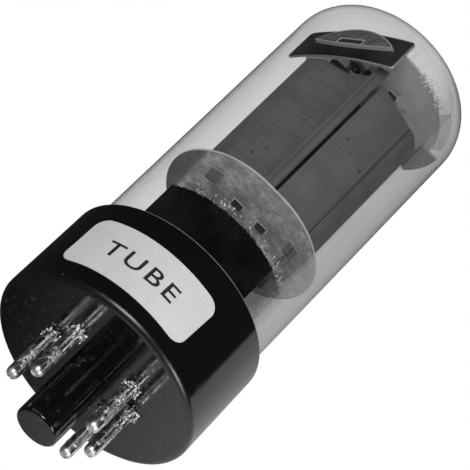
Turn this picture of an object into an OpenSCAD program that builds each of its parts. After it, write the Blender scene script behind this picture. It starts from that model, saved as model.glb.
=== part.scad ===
// Beam power tube on an eight-position octal base.
// The origin is the centre of the base's bottom face. +Z runs up the bulb, and the
// contact pins and the key post point down, below the origin.
// Pin positions are numbered clockwise from the key, as seen from below.

/* [Bulb] */
// Outside diameter of the glass bulb
bulb_d = 35; // [30:0.5:44]
// Glass wall thickness
bulb_wall = 1.2; // [0.8:0.1:1.6]
// Height of the bulb's crown above the base's bottom face
bulb_top = 88.4; // [76:0.2:110]
// Radius of the bulb's shoulder
shoulder_r = 8; // [6:0.5:10]
// Radius of the nearly flat crown
crown_r = 60; // [45:5:90]

/* [Base] */
// Height of the moulded base
base_h = 19.5; // [16:0.5:26]
// Wall of the moulded base
base_wall = 1.6; // [1.2:0.1:2.4]
// Thickness of the base's floor
base_floor = 2.4; // [2:0.1:3.5]
// Width of the cement ring between bulb and base
cement_w = 0.3; // [0.2:0.1:0.6]
// How much wider the base's bottom is than its rim, on the radius
base_draft = 0.25; // [0:0.05:0.4]
// Rounding of the base's bottom edge
foot_r = 1.2; // [0.6:0.1:1.6]
// Rounding of the base's rim
rim_r = 0.5; // [0.2:0.1:0.7]

/* [Key post] */
// Diameter of the key post
post_d = 7.94; // [7.5:0.01:8.2]
// Length of the key post below the base
post_l = 14.4; // [12:0.2:17.4]
// Wall of the hollow key post
post_wall = 1.2; // [1:0.1:1.5]
// Width of the key
key_w = 1.9; // [1.5:0.1:2.2]
// How far the key stands out from the post
key_out = 1.1; // [0.8:0.1:1.4]

/* [Pins] */
// Diameter of the pin circle
pin_circle_d = 17.45; // [16.5:0.05:19]
// Diameter of a contact pin
pin_d = 2.36; // [2.2:0.02:2.5]
// Length of a pin below the base
pin_l = 11.2; // [9:0.2:13.6]
// Bore of the tubular pin
pin_bore = 1.5; // [1.2:0.1:1.6]
// Diameter of a lead wire
lead_d = 0.8; // [0.6:0.1:1]

/* [Electrodes] */
// Underside of the lower mica
lower_mica_z = 40.3; // [33:0.1:46]
// Height of the upper mica's underside above the start of the bulb's shoulder
upper_mica_rise = 0.275; // [-3:0.025:0.4]
// Thickness of a mica
mica_t = 0.4; // [0.3:0.05:0.6]
// Clearance from a mica's edge to the glass, front and back
mica_clear = 1.9; // [1.4:0.1:2.4]
// Distance from the anode's top to the upper mica
anode_clear = 4.4; // [4:0.1:12]
// Thickness of the anode sheet
anode_t = 0.35; // [0.2:0.05:0.5]
// Clearance from the mica's edge to the anode's side
anode_inset = 2.1; // [1.8:0.1:2.6]
// Distance from the tube's axis to the anode's seam
anode_depth = 10; // [9:0.1:11]
// Gap at the anode's front and back seams
seam_gap = 0.8; // [0.4:0.1:1.2]
// Distance from the axis to a beam plate's flat
beam_depth = 4.4; // [4:0.1:4.8]
// Distance from the axis to a screen grid rod
screen_x = 6.1; // [5.8:0.1:6.6]
// Distance from the axis to a control grid rod
control_x = 3.4; // [3.2:0.1:3.8]
// Distance from one grid turn to the next
grid_pitch = 1; // [0.8:0.1:1.6]
// Width of the flat cathode sleeve
cathode_w = 3.8; // [3.4:0.1:4.2]
// Thickness of the flat cathode sleeve
cathode_t = 1.5; // [1.3:0.1:1.7]

/* [Getter] */
// Distance from the glass to the line that joins the shield's ends
shield_in = 6.7; // [6.5:0.05:7.1]
// Clearance from the shield's ends to the glass
shield_end_gap = 1.01; // [0.95:0.01:2.5]
// Height of the getter shield
shield_h = 7.7; // [6:0.1:8]
// How far the shield bows outwards at its middle
shield_bow = 1.2; // [0.8:0.1:1.6]
// Height of the dark getter film above the base's bottom face
flash_top = 30; // [26:0.5:34]

/* [Label] */
// Width of the label round the base
label_w = 26.5; // [20:0.5:30]
// Height of the label
label_h = 10.8; // [8:0.1:12]

/* [Hidden] */
bulb_r = bulb_d / 2;
glass_r = bulb_r - bulb_wall;
// The bulb's centre lines: where its straight wall ends, and the centre of its crown's curve
crown_z = bulb_top - crown_r;
bulb_shoulder_z = crown_z + sqrt(pow(crown_r - shoulder_r, 2) - pow(bulb_r - shoulder_r, 2));
base_in_r = bulb_r + cement_w;
base_r = base_in_r + base_wall;
post_r = post_d / 2;
pin_r = pin_d / 2;
lead_r = lead_d / 2;
pin_circle_r = pin_circle_d / 2;
slop = 1;

// The glass foot inside the base
foot_gap = 2.6;
bulb_z = base_floor + foot_gap;
stem_z = bulb_z + 0.6;
stem_t = 2.8;
stem_top = stem_z + stem_t;
cement_drop = 0.8;
ledge_w = 2.2;

// The pins: a shank that shows, a narrower tail in the base, and a soldered tip
used_pins = [2, 3, 4, 5, 7, 8];
shoulder_z = 0.15;
recess_r = pin_r + 0.12;
tail_r = pin_r - 0.25;
tail_top = base_floor + 0.6;
flare_r = pin_r + 0.3;
tip_drop = 0.35;
solder_l = 2.4;

// The electrode cage
lower_top = lower_mica_z + mica_t;
upper_mica_z = bulb_shoulder_z + upper_mica_rise;
upper_top = upper_mica_z + mica_t;
mica_r = glass_r - mica_clear;
upper_mica_r = mica_r - 0.2;
mica_wide = glass_r - 0.6;
lug_r = glass_r - 0.1;
anode_z = lower_top + 0.4;
anode_top = upper_mica_z - anode_clear;
anode_l = anode_top - anode_z;
anode_x = mica_r - anode_inset;
side_y = 3.2;
fold_in = 2.1;
fold_y = 6.1;
tab_w = 2.2;
tab_drop = 2;
tab_x = anode_x - 3.4;
strip_rise = 2.6;
scoop_drop = 2.2;
scoop_from = 1.8;
scoop_to = 6;
beam_t = 0.25;
beam_x = anode_x - 3.1;
beam_z = lower_top + 0.3;
beam_top = upper_mica_z - 3.3;
beam_tab_x = 2.7;
beam_window = 1.65;
grid_tail = 3.5;
rod_r = 0.45;
grid_z = lower_top + 3.3;
grid_top = upper_mica_z - 4;
turn_t = 0.14;
control_half = 1.6;
screen_half = 2.6;
cathode_wall = 0.1;
coat_t = 0.08;
heater_r = 0.18;
heater_step = 0.6;
heater_tail = 5.2;
weld = 0.005;
face_slope = atan2(anode_depth - fold_y, anode_x - fold_in - seam_gap / 2);

// The getter shield stands upright at the upper mica's edge
getter_az = 217.7;
shield_off = glass_r - shield_in;
shield_l = 2 * sqrt(pow(glass_r - shield_end_gap, 2) - pow(shield_off, 2));
shield_shift = -0.3;
shield_t = 0.3;
shield_z = upper_mica_z - 4.65;
bow_r = (pow(shield_l / 2, 2) + pow(shield_bow, 2)) / (2 * shield_bow);
bow_x = shield_off + shield_bow - bow_r;
pan_t = 0.7;
pan_half = 8.8;
pan_z = shield_z + 4.2;
pan_shift = 0.5;
slot_shift = 0.2;
slot_drop = 0.2;
pan_up = 3.4;
pan_down = 1.2;
strap_w = 2.4;
strap_t = 0.3;
strap_in = 4.2;
strap_y = -1.5;
strap_rise = 2;
eyelet_r = 0.7;

// The getter film on the glass
flash_t = 0.06;
flash_from = 220;
flash_span = 115;

// The label
label_t = 0.12;
label_az = 252;
label_z = 9.15;
label_tilt = -2.2;
label_corner = 2;

$fn = 96;

// ---- Shared shapes ----

// Angle of a pin position: 1 is next to the key, and the numbers run clockwise from below
function pin_angle(n) = 270 + 45 * (n - 1);

// Centre of a pin position
function pin_at(n) = pin_circle_r * [cos(pin_angle(n)), sin(pin_angle(n))];

// Unit normal on the right-hand side of the line from a to b
function side(a, b) = [b[1] - a[1], a[0] - b[0]] / norm(b - a);

// Mitred offset direction at point i of an open line
function mitre(line, i) =
    i == 0 ? side(line[0], line[1])
    : i == len(line) - 1 ? side(line[i - 1], line[i])
    : let (m = side(line[i - 1], line[i]), n = side(line[i], line[i + 1])) (m + n) / (1 + m * n);

// Flat outline of a folded sheet whose outer face follows the line
module sheet(line, t) {
    last = len(line) - 1;
    polygon(concat(line, [for (i = [last : -1 : 0]) line[i] + t * mitre(line, i)]));
}

// A straight round wire from a to b
module rod(a, b, r) {
    d = b - a;
    translate(a)
        rotate([0, acos(d[2] / norm(d)), atan2(d[1], d[0])])
            rotate(200) cylinder(r = r, h = norm(d), $fn = 24);
}

// A round wire along a line of points, with a slightly fuller ball at each bend
module wire(points, r) {
    for (i = [0 : len(points) - 2]) rod(points[i], points[i + 1], r);
    for (i = [1 : len(points) - 2]) {
        d = points[i + 1] - points[i - 1];
        translate(points[i]) rotate([90, 0, atan2(d[1], d[0]) + 90]) sphere(r + 0.03, $fn = 24);
    }
}

// A flat oval, round at both ends
module oval(half_l, half_w) {
    square([2 * (half_l - half_w), 2 * half_w], center = true);
    for (s = [-1, 1]) translate([s * (half_l - half_w), 0]) circle(half_w, $fn = 48);
}

// A rectangle with round corners, centred
module round_rect(w, h, r) {
    square([w - 2 * r, h], center = true);
    square([w, h - 2 * r], center = true);
    for (x = [-1, 1], y = [-1, 1]) translate([x * (w / 2 - r), y * (h / 2 - r)]) circle(r, $fn = 32);
}

// What is cut off a square corner at [x, y] to round it; sx and sy point out of the corner
module corner_cut(x, y, r, sx, sy) {
    difference() {
        translate([sx > 0 ? x - r : x - slop, sy > 0 ? y - r : y - slop]) square(r + slop);
        translate([x - sx * r, y - sy * r]) circle(r, $fn = 48);
    }
}

// A pie slice of the plane from angle a0 over the given span
module slice(a0, span, r) {
    steps = ceil(span / 30);
    polygon(concat([[0, 0]], [for (i = [0 : steps]) r * [cos(a0 + i * span / steps), sin(a0 + i * span / steps)]]));
}

// ---- Base ----

// Outside radius of the base at height z
function wall_r(z) = base_r + base_draft * (1 - z / base_h);

module base_section() {
    difference() {
        union() {
            difference() {
                polygon([[0, 0], [wall_r(0), 0], [base_r, base_h], [0, base_h]]);
                translate([0, base_floor]) square([base_in_r, base_h]);
            }
            translate([0, -post_l]) square([post_r, post_l + base_floor]);
        }
        translate([-slop, post_wall + 0.4 - post_l]) square([post_r - post_wall + slop, post_l + base_floor]);
        corner_cut(wall_r(foot_r), 0, foot_r, 1, -1);
        corner_cut(wall_r(base_h - rim_r), base_h, rim_r, 1, 1);
        corner_cut(post_r, -post_l, 0.5, 1, -1);
    }
}

module base_shell() color([0.05, 0.05, 0.055]) {
    difference() {
        union() {
            rotate_extrude() base_section();
            rotate([0, 0, pin_angle(1) - 22.5]) key();
        }
        for (n = used_pins) translate(pin_at(n)) {
            translate([0, 0, -slop]) cylinder(r = tail_r, h = base_floor + 2 * slop, $fn = 32);
            translate([0, 0, -slop]) cylinder(r = recess_r, h = shoulder_z + slop, $fn = 32);
        }
    }
}

// The key is a straight rib with a lead-in slope at its lower end
module key() {
    reach = post_r + key_out;
    in = post_r - 0.6;
    rotate([90, 0, 0])
        linear_extrude(height = key_w, center = true)
            polygon([[in, 0.2], [reach, 0.2], [reach, 0.9 - post_l], [reach - 0.6, 0.3 - post_l], [in, 0.3 - post_l]]);
}

// The cement fills the gap round the glass and the ledge that the glass stands on
module base_cement() color([0.75, 0.72, 0.66]) {
    rotate_extrude() {
        translate([bulb_r, base_floor]) square([cement_w, base_h - cement_drop - base_floor]);
        translate([bulb_r - ledge_w, base_floor]) square([ledge_w + weld, foot_gap]);
    }
}

// ---- Pins ----

module pin_shell() {
    rotate_extrude($fn = 48)
        difference() {
            union() {
                translate([0, pin_r - pin_l]) square([pin_r, pin_l - pin_r + shoulder_z]);
                intersection() {
                    translate([0, pin_r - pin_l]) circle(pin_r, $fn = 48);
                    translate([0, -pin_l]) square([pin_r, pin_r]);
                }
                square([tail_r, tail_top]);
                translate([0, base_floor]) square([flare_r, tail_top - base_floor]);
            }
            translate([-slop, -pin_l - slop]) square([pin_bore / 2 + slop, pin_l + tail_top + 2 * slop]);
        }
}

module pin(n) color([0.78, 0.77, 0.74]) translate(pin_at(n)) pin_shell();

// One plug of solder closes the lower end of each pin round its lead
module pin_solder() color([0.7, 0.7, 0.68]) {
    for (n = used_pins) translate(pin_at(n)) translate([0, 0, tip_drop - pin_l])
        difference() {
            cylinder(d = pin_bore, h = solder_l, $fn = 32);
            translate([0, 0, 0.8]) cylinder(r = lead_r, h = solder_l, $fn = 24);
        }
}

// ---- Glass ----

// Half outline of the bulb with its shoulder and crown, from z = foot up
module bulb_outline(r, corner, crown, foot) {
    in = r - corner;
    aim = [in, bulb_shoulder_z - crown_z] / norm([in, bulb_shoulder_z - crown_z]);
    translate([0, foot]) square([r, bulb_shoulder_z - foot]);
    intersection() {
        translate([in, bulb_shoulder_z]) circle(corner);
        translate([in, bulb_shoulder_z]) square(corner);
    }
    intersection() {
        translate([0, crown_z]) circle(crown);
        polygon([
            [0, bulb_shoulder_z - slop], [in, bulb_shoulder_z - slop], [in, bulb_shoulder_z],
            [0, crown_z] + (crown + slop) * aim, [0, crown_z + crown + slop]
        ]);
    }
}

module bulb() color([0.85, 0.87, 0.88, 0.3]) {
    rotate_extrude()
        difference() {
            bulb_outline(bulb_r, shoulder_r, crown_r, bulb_z);
            bulb_outline(glass_r, shoulder_r - bulb_wall, crown_r - bulb_wall, bulb_z - slop);
        }
}

module button_stem() color([0.8, 0.83, 0.84, 0.5]) {
    difference() {
        union() {
            translate([0, 0, stem_z]) cylinder(r = glass_r, h = stem_t);
            for (n = used_pins) translate(pin_at(n)) translate([0, 0, stem_top - weld])
                cylinder(r1 = lead_r + 0.9, r2 = lead_r + 0.25, h = 1.2, $fn = 32);
        }
        for (n = used_pins) translate(pin_at(n)) translate([0, 0, stem_z - slop])
            cylinder(r = lead_r, h = stem_t + 4, $fn = 24);
    }
}

// The tube that the air was drawn out through, sealed off inside the key post
module exhaust_tip() color([0.8, 0.83, 0.84, 0.5]) {
    tip_r = post_r - post_wall - 0.6;
    rotate_extrude($fn = 48)
        difference() {
            union() {
                translate([0, -6]) square([tip_r, 6 + stem_z]);
                intersection() {
                    translate([0, -6]) circle(tip_r, $fn = 48);
                    translate([0, -6 - tip_r]) square([tip_r, tip_r]);
                }
            }
            translate([-slop, -5]) square([tip_r - 0.7 + slop, 5 + stem_z + slop]);
        }
}

// ---- Lead wires ----

// How each lead runs: [pin, distance of its bend below the lower mica, weld point]
// The weld point stands one lead radius clear of what it is welded to.
lead_ends = [
    [2, 15.3, [1.5 * heater_step, -heater_r - lead_r, lower_mica_z - heater_tail + 0.4]],
    [3, 10.3, [tab_x, -front_y(tab_x) + (anode_t + lead_r) / cos(face_slope), lower_mica_z - 4]],
    [4, 9.3, [screen_x, rod_r + lead_r, lower_mica_z - grid_tail]],
    [5, 13.3, [-control_x, rod_r + lead_r, lower_mica_z - grid_tail]],
    [7, 18.3, [-1.5 * heater_step, heater_r + lead_r, lower_mica_z - heater_tail + 0.4]],
    [8, 11.3, [-0.8, -cathode_t / 2 - lead_r, lower_mica_z - 2.6]]
];

module lead(i) color([0.6, 0.6, 0.6]) {
    p = pin_at(lead_ends[i][0]);
    w = lead_ends[i][2];
    wire([
        [p[0], p[1], tip_drop - pin_l + 0.8],
        [p[0], p[1], lower_mica_z - lead_ends[i][1]],
        w,
        w + [0, 0, 1.8]
    ], lead_r);
}

// ---- Micas ----

// Front face of the anode at a distance x from its seam
function front_y(x) = anode_depth - (abs(x) - seam_gap / 2) * tan(face_slope);

// Openings that both micas share: grid rods, cathode and beam plate tabs
module mica_holes() {
    for (s = [-1, 1]) {
        translate([s * screen_x, 0]) circle(rod_r, $fn = 24);
        translate([s * control_x, 0]) circle(rod_r, $fn = 24);
        for (y = [-1, 1])
            translate([s * beam_tab_x, y * (beam_depth - beam_t / 2)]) square([2.2, 0.7], center = true);
    }
    oval(cathode_w / 2, cathode_t / 2);
}

// Slots for the anode's tabs, along the slope of its faces
module anode_slots() {
    for (s = [-1, 1], y = [-1, 1])
        translate([s * tab_x, y * front_y(tab_x)])
            rotate(-s * y * face_slope) translate([0, -y * anode_t / 2]) square([tab_w + 0.5, 0.6], center = true);
}

module lower_mica() color([0.82, 0.8, 0.76, 0.5]) {
    translate([0, 0, lower_mica_z])
        linear_extrude(height = mica_t)
            difference() {
                oval(mica_wide, mica_r);
                mica_holes();
                anode_slots();
            }
}

module upper_mica() color([0.82, 0.8, 0.76, 0.5]) {
    translate([0, 0, upper_mica_z])
        linear_extrude(height = mica_t)
            difference() {
                union() {
                    circle(upper_mica_r);
                    intersection() {
                        circle(lug_r);
                        slice(0, 34, 2 * lug_r);
                    }
                }
                mica_holes();
                rotate(getter_az) {
                    translate([shield_off - shield_t - 0.4, -bulb_r]) square([bulb_r, bulb_d]);
                    translate([strap_in + 1.3, strap_y]) circle(eyelet_r, $fn = 32);
                }
            }
}

// Thin leaves that lean from the upper mica against the glass: two wide ones and a row of frayed fingers
module bulb_spacers() color([0.85, 0.83, 0.8, 0.6]) {
    spacer(322, 38, 1.6);
    spacer(92, 38, 1.6);
    for (i = [0 : 6]) spacer(271 + 7 * i, 4.5, 0.9 + 0.5 * (i % 3));
}

module spacer(from, span, rise) {
    leaf_t = 0.15;
    foot = upper_mica_r - 1.2;
    tip = lug_r - 0.7;
    rotate([0, 0, from])
        rotate_extrude(angle = span, $fn = 72)
            polygon([
                [foot, upper_top], [upper_mica_r - 0.4, upper_top], [tip, upper_top + rise],
                [tip - leaf_t, upper_top + rise + leaf_t], [upper_mica_r - 0.5, upper_top + leaf_t],
                [foot, upper_top + leaf_t]
            ]);
}

// ---- Anode ----

// Half of the anode's section, from the front seam round the side to the back seam
half_line = [
    [seam_gap / 2, -anode_depth], [anode_x - fold_in, -fold_y], [anode_x, -side_y],
    [anode_x, side_y], [anode_x - fold_in, fold_y], [seam_gap / 2, anode_depth]
];

module anode_half() {
    difference() {
        translate([0, 0, anode_z]) linear_extrude(height = anode_l) sheet(half_line, -anode_t);
        // The lower end of each side is cut back to clear the mica's lugs
        translate([anode_x - 1, -side_y, anode_z - slop]) cube([2, 2 * side_y, slop + 1.4]);
    }
    for (y = [-1, 1]) intersection() {
        translate([0, 0, lower_mica_z - tab_drop])
            linear_extrude(height = tab_drop + anode_z - lower_mica_z + weld) sheet(half_line, -anode_t);
        translate([tab_x - tab_w / 2, y > 0 ? 0 : -bulb_r, lower_mica_z - tab_drop]) cube([tab_w, bulb_r, 2 * tab_drop + 2]);
    }
}

module anode_right() color([0.36, 0.36, 0.37]) anode_half();

// The left half carries the seam's raised strip, and its upper edge dips under the getter shield
module anode_left() color([0.36, 0.36, 0.37]) {
    difference() {
        mirror([1, 0, 0]) anode_half();
        translate([0, bulb_r, 0]) rotate([90, 0, 0]) linear_extrude(height = bulb_d)
            polygon(concat(
                [[-scoop_from, anode_top + slop], [-scoop_from, anode_top]],
                [for (i = [1 : 8]) [
                    -scoop_from - (scoop_to - scoop_from) * i / 8,
                    anode_top - scoop_drop * (1 - cos(180 * i / 8)) / 2
                ]],
                [[-bulb_r, anode_top - scoop_drop], [-bulb_r, anode_top + slop]]
            ));
    }
    strip = [[-2.4, -front_y(2.4)], [-seam_gap / 2, -anode_depth]];
    translate([0, 0, anode_z]) linear_extrude(height = anode_l + strip_rise) {
        sheet(strip, anode_t);
        sheet(strip, -anode_t);
    }
}

// Two short plates join the halves across the back seam
module anode_straps() color([0.4, 0.4, 0.41]) {
    reach = 2.6;
    line = [
        [reach, front_y(reach)], [seam_gap / 2, anode_depth],
        [-seam_gap / 2, anode_depth], [-reach, front_y(reach)]
    ];
    for (z = [anode_z + 6, anode_top - 9])
        translate([0, 0, z]) linear_extrude(height = 3) sheet(line, anode_t);
}

// ---- Beam plates ----

module beam_plate() {
    bend = 0.8;
    line = [
        [beam_window, -beam_depth], [beam_x - bend, -beam_depth], [beam_x, bend - beam_depth],
        [beam_x, beam_depth - bend], [beam_x - bend, beam_depth], [beam_window, beam_depth]
    ];
    translate([0, 0, beam_z]) linear_extrude(height = beam_top - beam_z) sheet(line, -beam_t);
    for (y = [-1, 1], z = [lower_mica_z - 1, beam_top - weld])
        translate([beam_tab_x - 0.95, y > 0 ? beam_depth - beam_t : -beam_depth, z])
            cube([1.9, beam_t, z > beam_z ? upper_top + 1 - beam_top : beam_z - lower_mica_z + 1 + weld]);
}

module beam_plate_right() color([0.3, 0.3, 0.31]) beam_plate();

module beam_plate_left() color([0.3, 0.3, 0.31]) mirror([1, 0, 0]) beam_plate();

// ---- Grids ----

module grid_rods(x) {
    for (s = [-1, 1]) translate([s * x, 0, lower_mica_z - grid_tail])
        cylinder(r = rod_r, h = upper_top + 2.2 - lower_mica_z + grid_tail, $fn = 24);
}

// Level turns of wire, each held in place against the outside of both rods
module grid_winding(x, half_w) {
    count = floor((grid_top - grid_z) / grid_pitch);
    for (i = [0 : count]) translate([0, 0, grid_z + i * grid_pitch])
        linear_extrude(height = turn_t)
            difference() {
                oval(x + rod_r + turn_t, half_w + turn_t);
                oval(x + rod_r, half_w);
            }
}

module screen_grid_rods() color([0.55, 0.55, 0.56]) grid_rods(screen_x);

module screen_grid_winding() color([0.5, 0.5, 0.5]) grid_winding(screen_x, screen_half);

module control_grid_rods() color([0.72, 0.45, 0.3]) grid_rods(control_x);

module control_grid_winding() color([0.6, 0.58, 0.5]) grid_winding(control_x, control_half);

// ---- Cathode and heater ----

module cathode_sleeve() color([0.6, 0.6, 0.58]) {
    translate([0, 0, lower_mica_z - 1.6])
        linear_extrude(height = upper_top + 1.2 - lower_mica_z + 1.6)
            difference() {
                oval(cathode_w / 2, cathode_t / 2);
                oval(cathode_w / 2 - cathode_wall, cathode_t / 2 - cathode_wall);
            }
}

module cathode_coating() color([0.9, 0.9, 0.88]) {
    translate([0, 0, grid_z])
        linear_extrude(height = grid_top - grid_z)
            difference() {
                oval(cathode_w / 2 + coat_t, cathode_t / 2 + coat_t);
                oval(cathode_w / 2, cathode_t / 2);
            }
}

// The heater wire runs up, down, up and down inside the sleeve, and both ends hang below it
module heater() color([0.88, 0.87, 0.84]) {
    low = lower_mica_z + 1.5;
    high = upper_mica_z - 1.5;
    tail = lower_mica_z - heater_tail;
    for (i = [0 : 3]) {
        x = (i - 1.5) * heater_step;
        foot = (i == 0 || i == 3) ? tail : low;
        translate([x, 0, foot]) cylinder(r = heater_r, h = high - foot, $fn = 16);
    }
    for (x = [-heater_step, heater_step]) translate([x, 0, high]) bend(1);
    translate([0, 0, low]) bend(-1);
}

module bend(up) {
    rotate([up > 0 ? 90 : -90, 0, 0])
        rotate_extrude(angle = 180, $fn = 32) translate([heater_step / 2, 0]) circle(heater_r, $fn = 16);
}

// ---- Getter ----

// A band that follows the shield's bow, from depth a to depth b outside the shield's inner face
module bow_band(a, b) {
    translate([bow_x, shield_shift, 0])
        linear_extrude(height = bulb_top)
            intersection() {
                difference() {
                    circle(bow_r + b, $fn = 200);
                    circle(bow_r + a, $fn = 200);
                }
                translate([0, -shield_l]) square([bow_r + bulb_r, 2 * shield_l]);
            }
}

// Turns a flat outline in the plane of y and z into a block that runs outwards through the shield
module facing(depth) {
    rotate([90, 0, 90]) linear_extrude(height = depth) children();
}

module getter_shield() color([0.16, 0.16, 0.17]) {
    rotate([0, 0, getter_az]) intersection() {
        bow_band(0, shield_t);
        facing(bulb_r) translate([shield_shift, shield_z + shield_h / 2]) round_rect(shield_l, shield_h, 0.9);
    }
}

module pan_outline() {
    top_r = (pow(pan_half, 2) + pow(pan_up, 2)) / (2 * pan_up);
    low_r = (pow(pan_half, 2) + pow(pan_down, 2)) / (2 * pan_down);
    intersection() {
        translate([0, pan_up - top_r]) circle(top_r);
        translate([0, low_r - pan_down]) circle(low_r, $fn = 200);
    }
}

module pan_slot() round_rect(5.3, 1.2, 0.5);

// A boat-shaped pressed tray, with a slot that holds the getter
module getter_pan() color([0.6, 0.6, 0.6]) {
    rotate([0, 0, getter_az]) difference() {
        intersection() {
            bow_band(shield_t, shield_t + pan_t);
            facing(bulb_r) translate([pan_shift, pan_z]) pan_outline();
        }
        intersection() {
            bow_band(shield_t + 0.3, shield_t + pan_t + slop);
            facing(bulb_r) translate([slot_shift, pan_z - slot_drop]) pan_slot();
        }
    }
}

module getter_charge() color([0.1, 0.1, 0.1]) {
    rotate([0, 0, getter_az]) intersection() {
        bow_band(shield_t + 0.3, shield_t + pan_t - 0.15);
        facing(bulb_r) translate([slot_shift, pan_z - slot_drop]) pan_slot();
    }
}

// The strap lies on the upper mica and turns up behind the shield, where it is spot welded
module getter_strap() color([0.5, 0.5, 0.5]) {
    reach = shield_off + shield_bow;
    rotate([0, 0, getter_az]) difference() {
        translate([strap_in, strap_y - strap_w / 2, upper_top]) cube([reach - strap_in, strap_w, strap_rise]);
        // The space in front of the shield's back face, and the space above the flat foot
        bow_band(0, bulb_r);
        intersection() {
            translate([0, -bulb_r, upper_top + strap_t]) cube([bulb_r, bulb_d, strap_rise]);
            bow_band(-bulb_r, -strap_t);
        }
        translate([strap_in + 1.3, strap_y, upper_top - slop]) cylinder(r = eyelet_r, h = 3, $fn = 32);
    }
}

module getter_eyelet() color([0.7, 0.68, 0.62]) {
    rotate([0, 0, getter_az]) translate([strap_in + 1.3, strap_y, 0])
        difference() {
            union() {
                translate([0, 0, upper_mica_z]) cylinder(r = eyelet_r, h = mica_t + strap_t, $fn = 32);
                translate([0, 0, upper_mica_z - 0.2]) cylinder(r = eyelet_r + 0.5, h = 0.2, $fn = 32);
                translate([0, 0, upper_top + strap_t]) cylinder(r = eyelet_r + 0.5, h = 0.2, $fn = 32);
            }
            translate([0, 0, upper_mica_z - slop]) cylinder(r = eyelet_r - 0.25, h = 4, $fn = 32);
        }
}

// The metal film that the getter left on the inside of the glass
module getter_film() color([0.03, 0.03, 0.03]) {
    rotate([0, 0, flash_from]) rotate_extrude(angle = flash_span)
        translate([glass_r - weld - flash_t, stem_top + 1.6]) square([flash_t, flash_top - stem_top - 1.6]);
}

// ---- Label ----

module label() color([0.86, 0.86, 0.86]) {
    chord = 2 * base_r * sin(label_w / base_r * 90 / PI);
    rotate([0, 0, label_az]) intersection() {
        difference() {
            cylinder(r1 = wall_r(0) + label_t, r2 = base_r + label_t, h = base_h);
            cylinder(r1 = wall_r(0), r2 = base_r, h = base_h);
        }
        facing(2 * base_r) translate([0, label_z]) rotate(label_tilt) round_rect(chord, label_h, label_corner);
    }
}

base_shell();
base_cement();
pin(2);  // pin_2
pin(3);  // pin_3
pin(4);  // pin_4
pin(5);  // pin_5
pin(7);  // pin_7
pin(8);  // pin_8
pin_solder();
label();
bulb();
button_stem();
exhaust_tip();
lead(0);  // lead_2
lead(1);  // lead_3
lead(2);  // lead_4
lead(3);  // lead_5
lead(4);  // lead_7
lead(5);  // lead_8
lower_mica();
upper_mica();
bulb_spacers();
anode_left();
anode_right();
anode_straps();
beam_plate_left();
beam_plate_right();
screen_grid_rods();
screen_grid_winding();
control_grid_rods();
control_grid_winding();
cathode_sleeve();
cathode_coating();
heater();
getter_shield();
getter_pan();
getter_charge();
getter_strap();
getter_eyelet();
getter_film();
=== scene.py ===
"""The looks of a beam power tube: a clear bulb round a carbonised cage, on a black moulded base."""

import math

import bmesh
import bpy
from mathutils import Matrix, Vector


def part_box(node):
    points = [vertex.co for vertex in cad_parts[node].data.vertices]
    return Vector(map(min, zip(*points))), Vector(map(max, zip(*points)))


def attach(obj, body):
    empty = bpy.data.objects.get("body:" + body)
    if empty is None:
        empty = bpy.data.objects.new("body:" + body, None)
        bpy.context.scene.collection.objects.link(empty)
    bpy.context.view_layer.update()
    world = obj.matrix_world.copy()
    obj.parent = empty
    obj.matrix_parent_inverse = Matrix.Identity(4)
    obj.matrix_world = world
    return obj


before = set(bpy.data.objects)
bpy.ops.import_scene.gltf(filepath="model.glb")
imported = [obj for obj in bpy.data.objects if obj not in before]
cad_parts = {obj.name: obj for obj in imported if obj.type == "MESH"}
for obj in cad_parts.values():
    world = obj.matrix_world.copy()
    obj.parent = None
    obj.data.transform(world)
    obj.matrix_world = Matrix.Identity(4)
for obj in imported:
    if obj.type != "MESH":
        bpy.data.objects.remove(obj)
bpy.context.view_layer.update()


# ---- Moulded base ----
# A cup of black phenolic, moulded in one piece with the hollow key post that
# guides it into its socket. It keeps the gloss of the polished mould, with fine
# flow marks, dust and a few rubbed spots.

MM = 0.001


class Field:
    """A node's output that Python's own signs can work on."""

    def __init__(self, tree, socket):
        self.tree, self.socket = tree, socket

    def pick(self, name):
        return Field(self.tree, self.socket.node.outputs[name])

    def __add__(self, other):
        return self.tree.reckon("ADD", self, other)

    def __sub__(self, other):
        return self.tree.reckon("SUBTRACT", self, other)

    def __rsub__(self, other):
        return self.tree.reckon("SUBTRACT", other, self)

    def __mul__(self, other):
        return self.tree.reckon("MULTIPLY", self, other)

    def __truediv__(self, other):
        return self.tree.reckon("DIVIDE", self, other)

    def __rtruediv__(self, other):
        return self.tree.reckon("DIVIDE", other, self)

    def __pow__(self, other):
        return self.tree.reckon("POWER", self, other)

    def __gt__(self, other):
        return self.tree.reckon("GREATER_THAN", self, other)

    def __lt__(self, other):
        return self.tree.reckon("LESS_THAN", self, other)

    def __abs__(self):
        return self.tree.reckon("ABSOLUTE", self)

    __radd__, __rmul__ = __add__, __mul__


class Tree:
    """A node tree, whose nodes all come from one method."""

    def __init__(self, tree):
        self.tree = tree

    def node(self, kind, settings=(), sockets=(), out=0):
        node = self.tree.nodes.new(kind)
        for name, value in dict(settings).items():
            setattr(node, name, value)
        for name, value in dict(sockets).items():
            if isinstance(name, str):
                socket = next(s for s in node.inputs if s.enabled and s.name == name)
            else:
                socket = node.inputs[name]
            if isinstance(value, Field):
                self.tree.links.new(value.socket, socket)
            else:
                socket.default_value = value
        outputs = [s for s in node.outputs if s.enabled]
        if isinstance(out, str):
            outputs, out = [s for s in outputs if s.name == out], 0
        return Field(self, outputs[out]) if outputs else node

    def reckon(self, operation, *terms):
        return self.node("ShaderNodeMath", {"operation": operation}, dict(enumerate(terms)))


def grey(level):
    return (level, level, level, 1.0)


def hypot(u, v):
    return (u * u + v * v) ** 0.5


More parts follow.
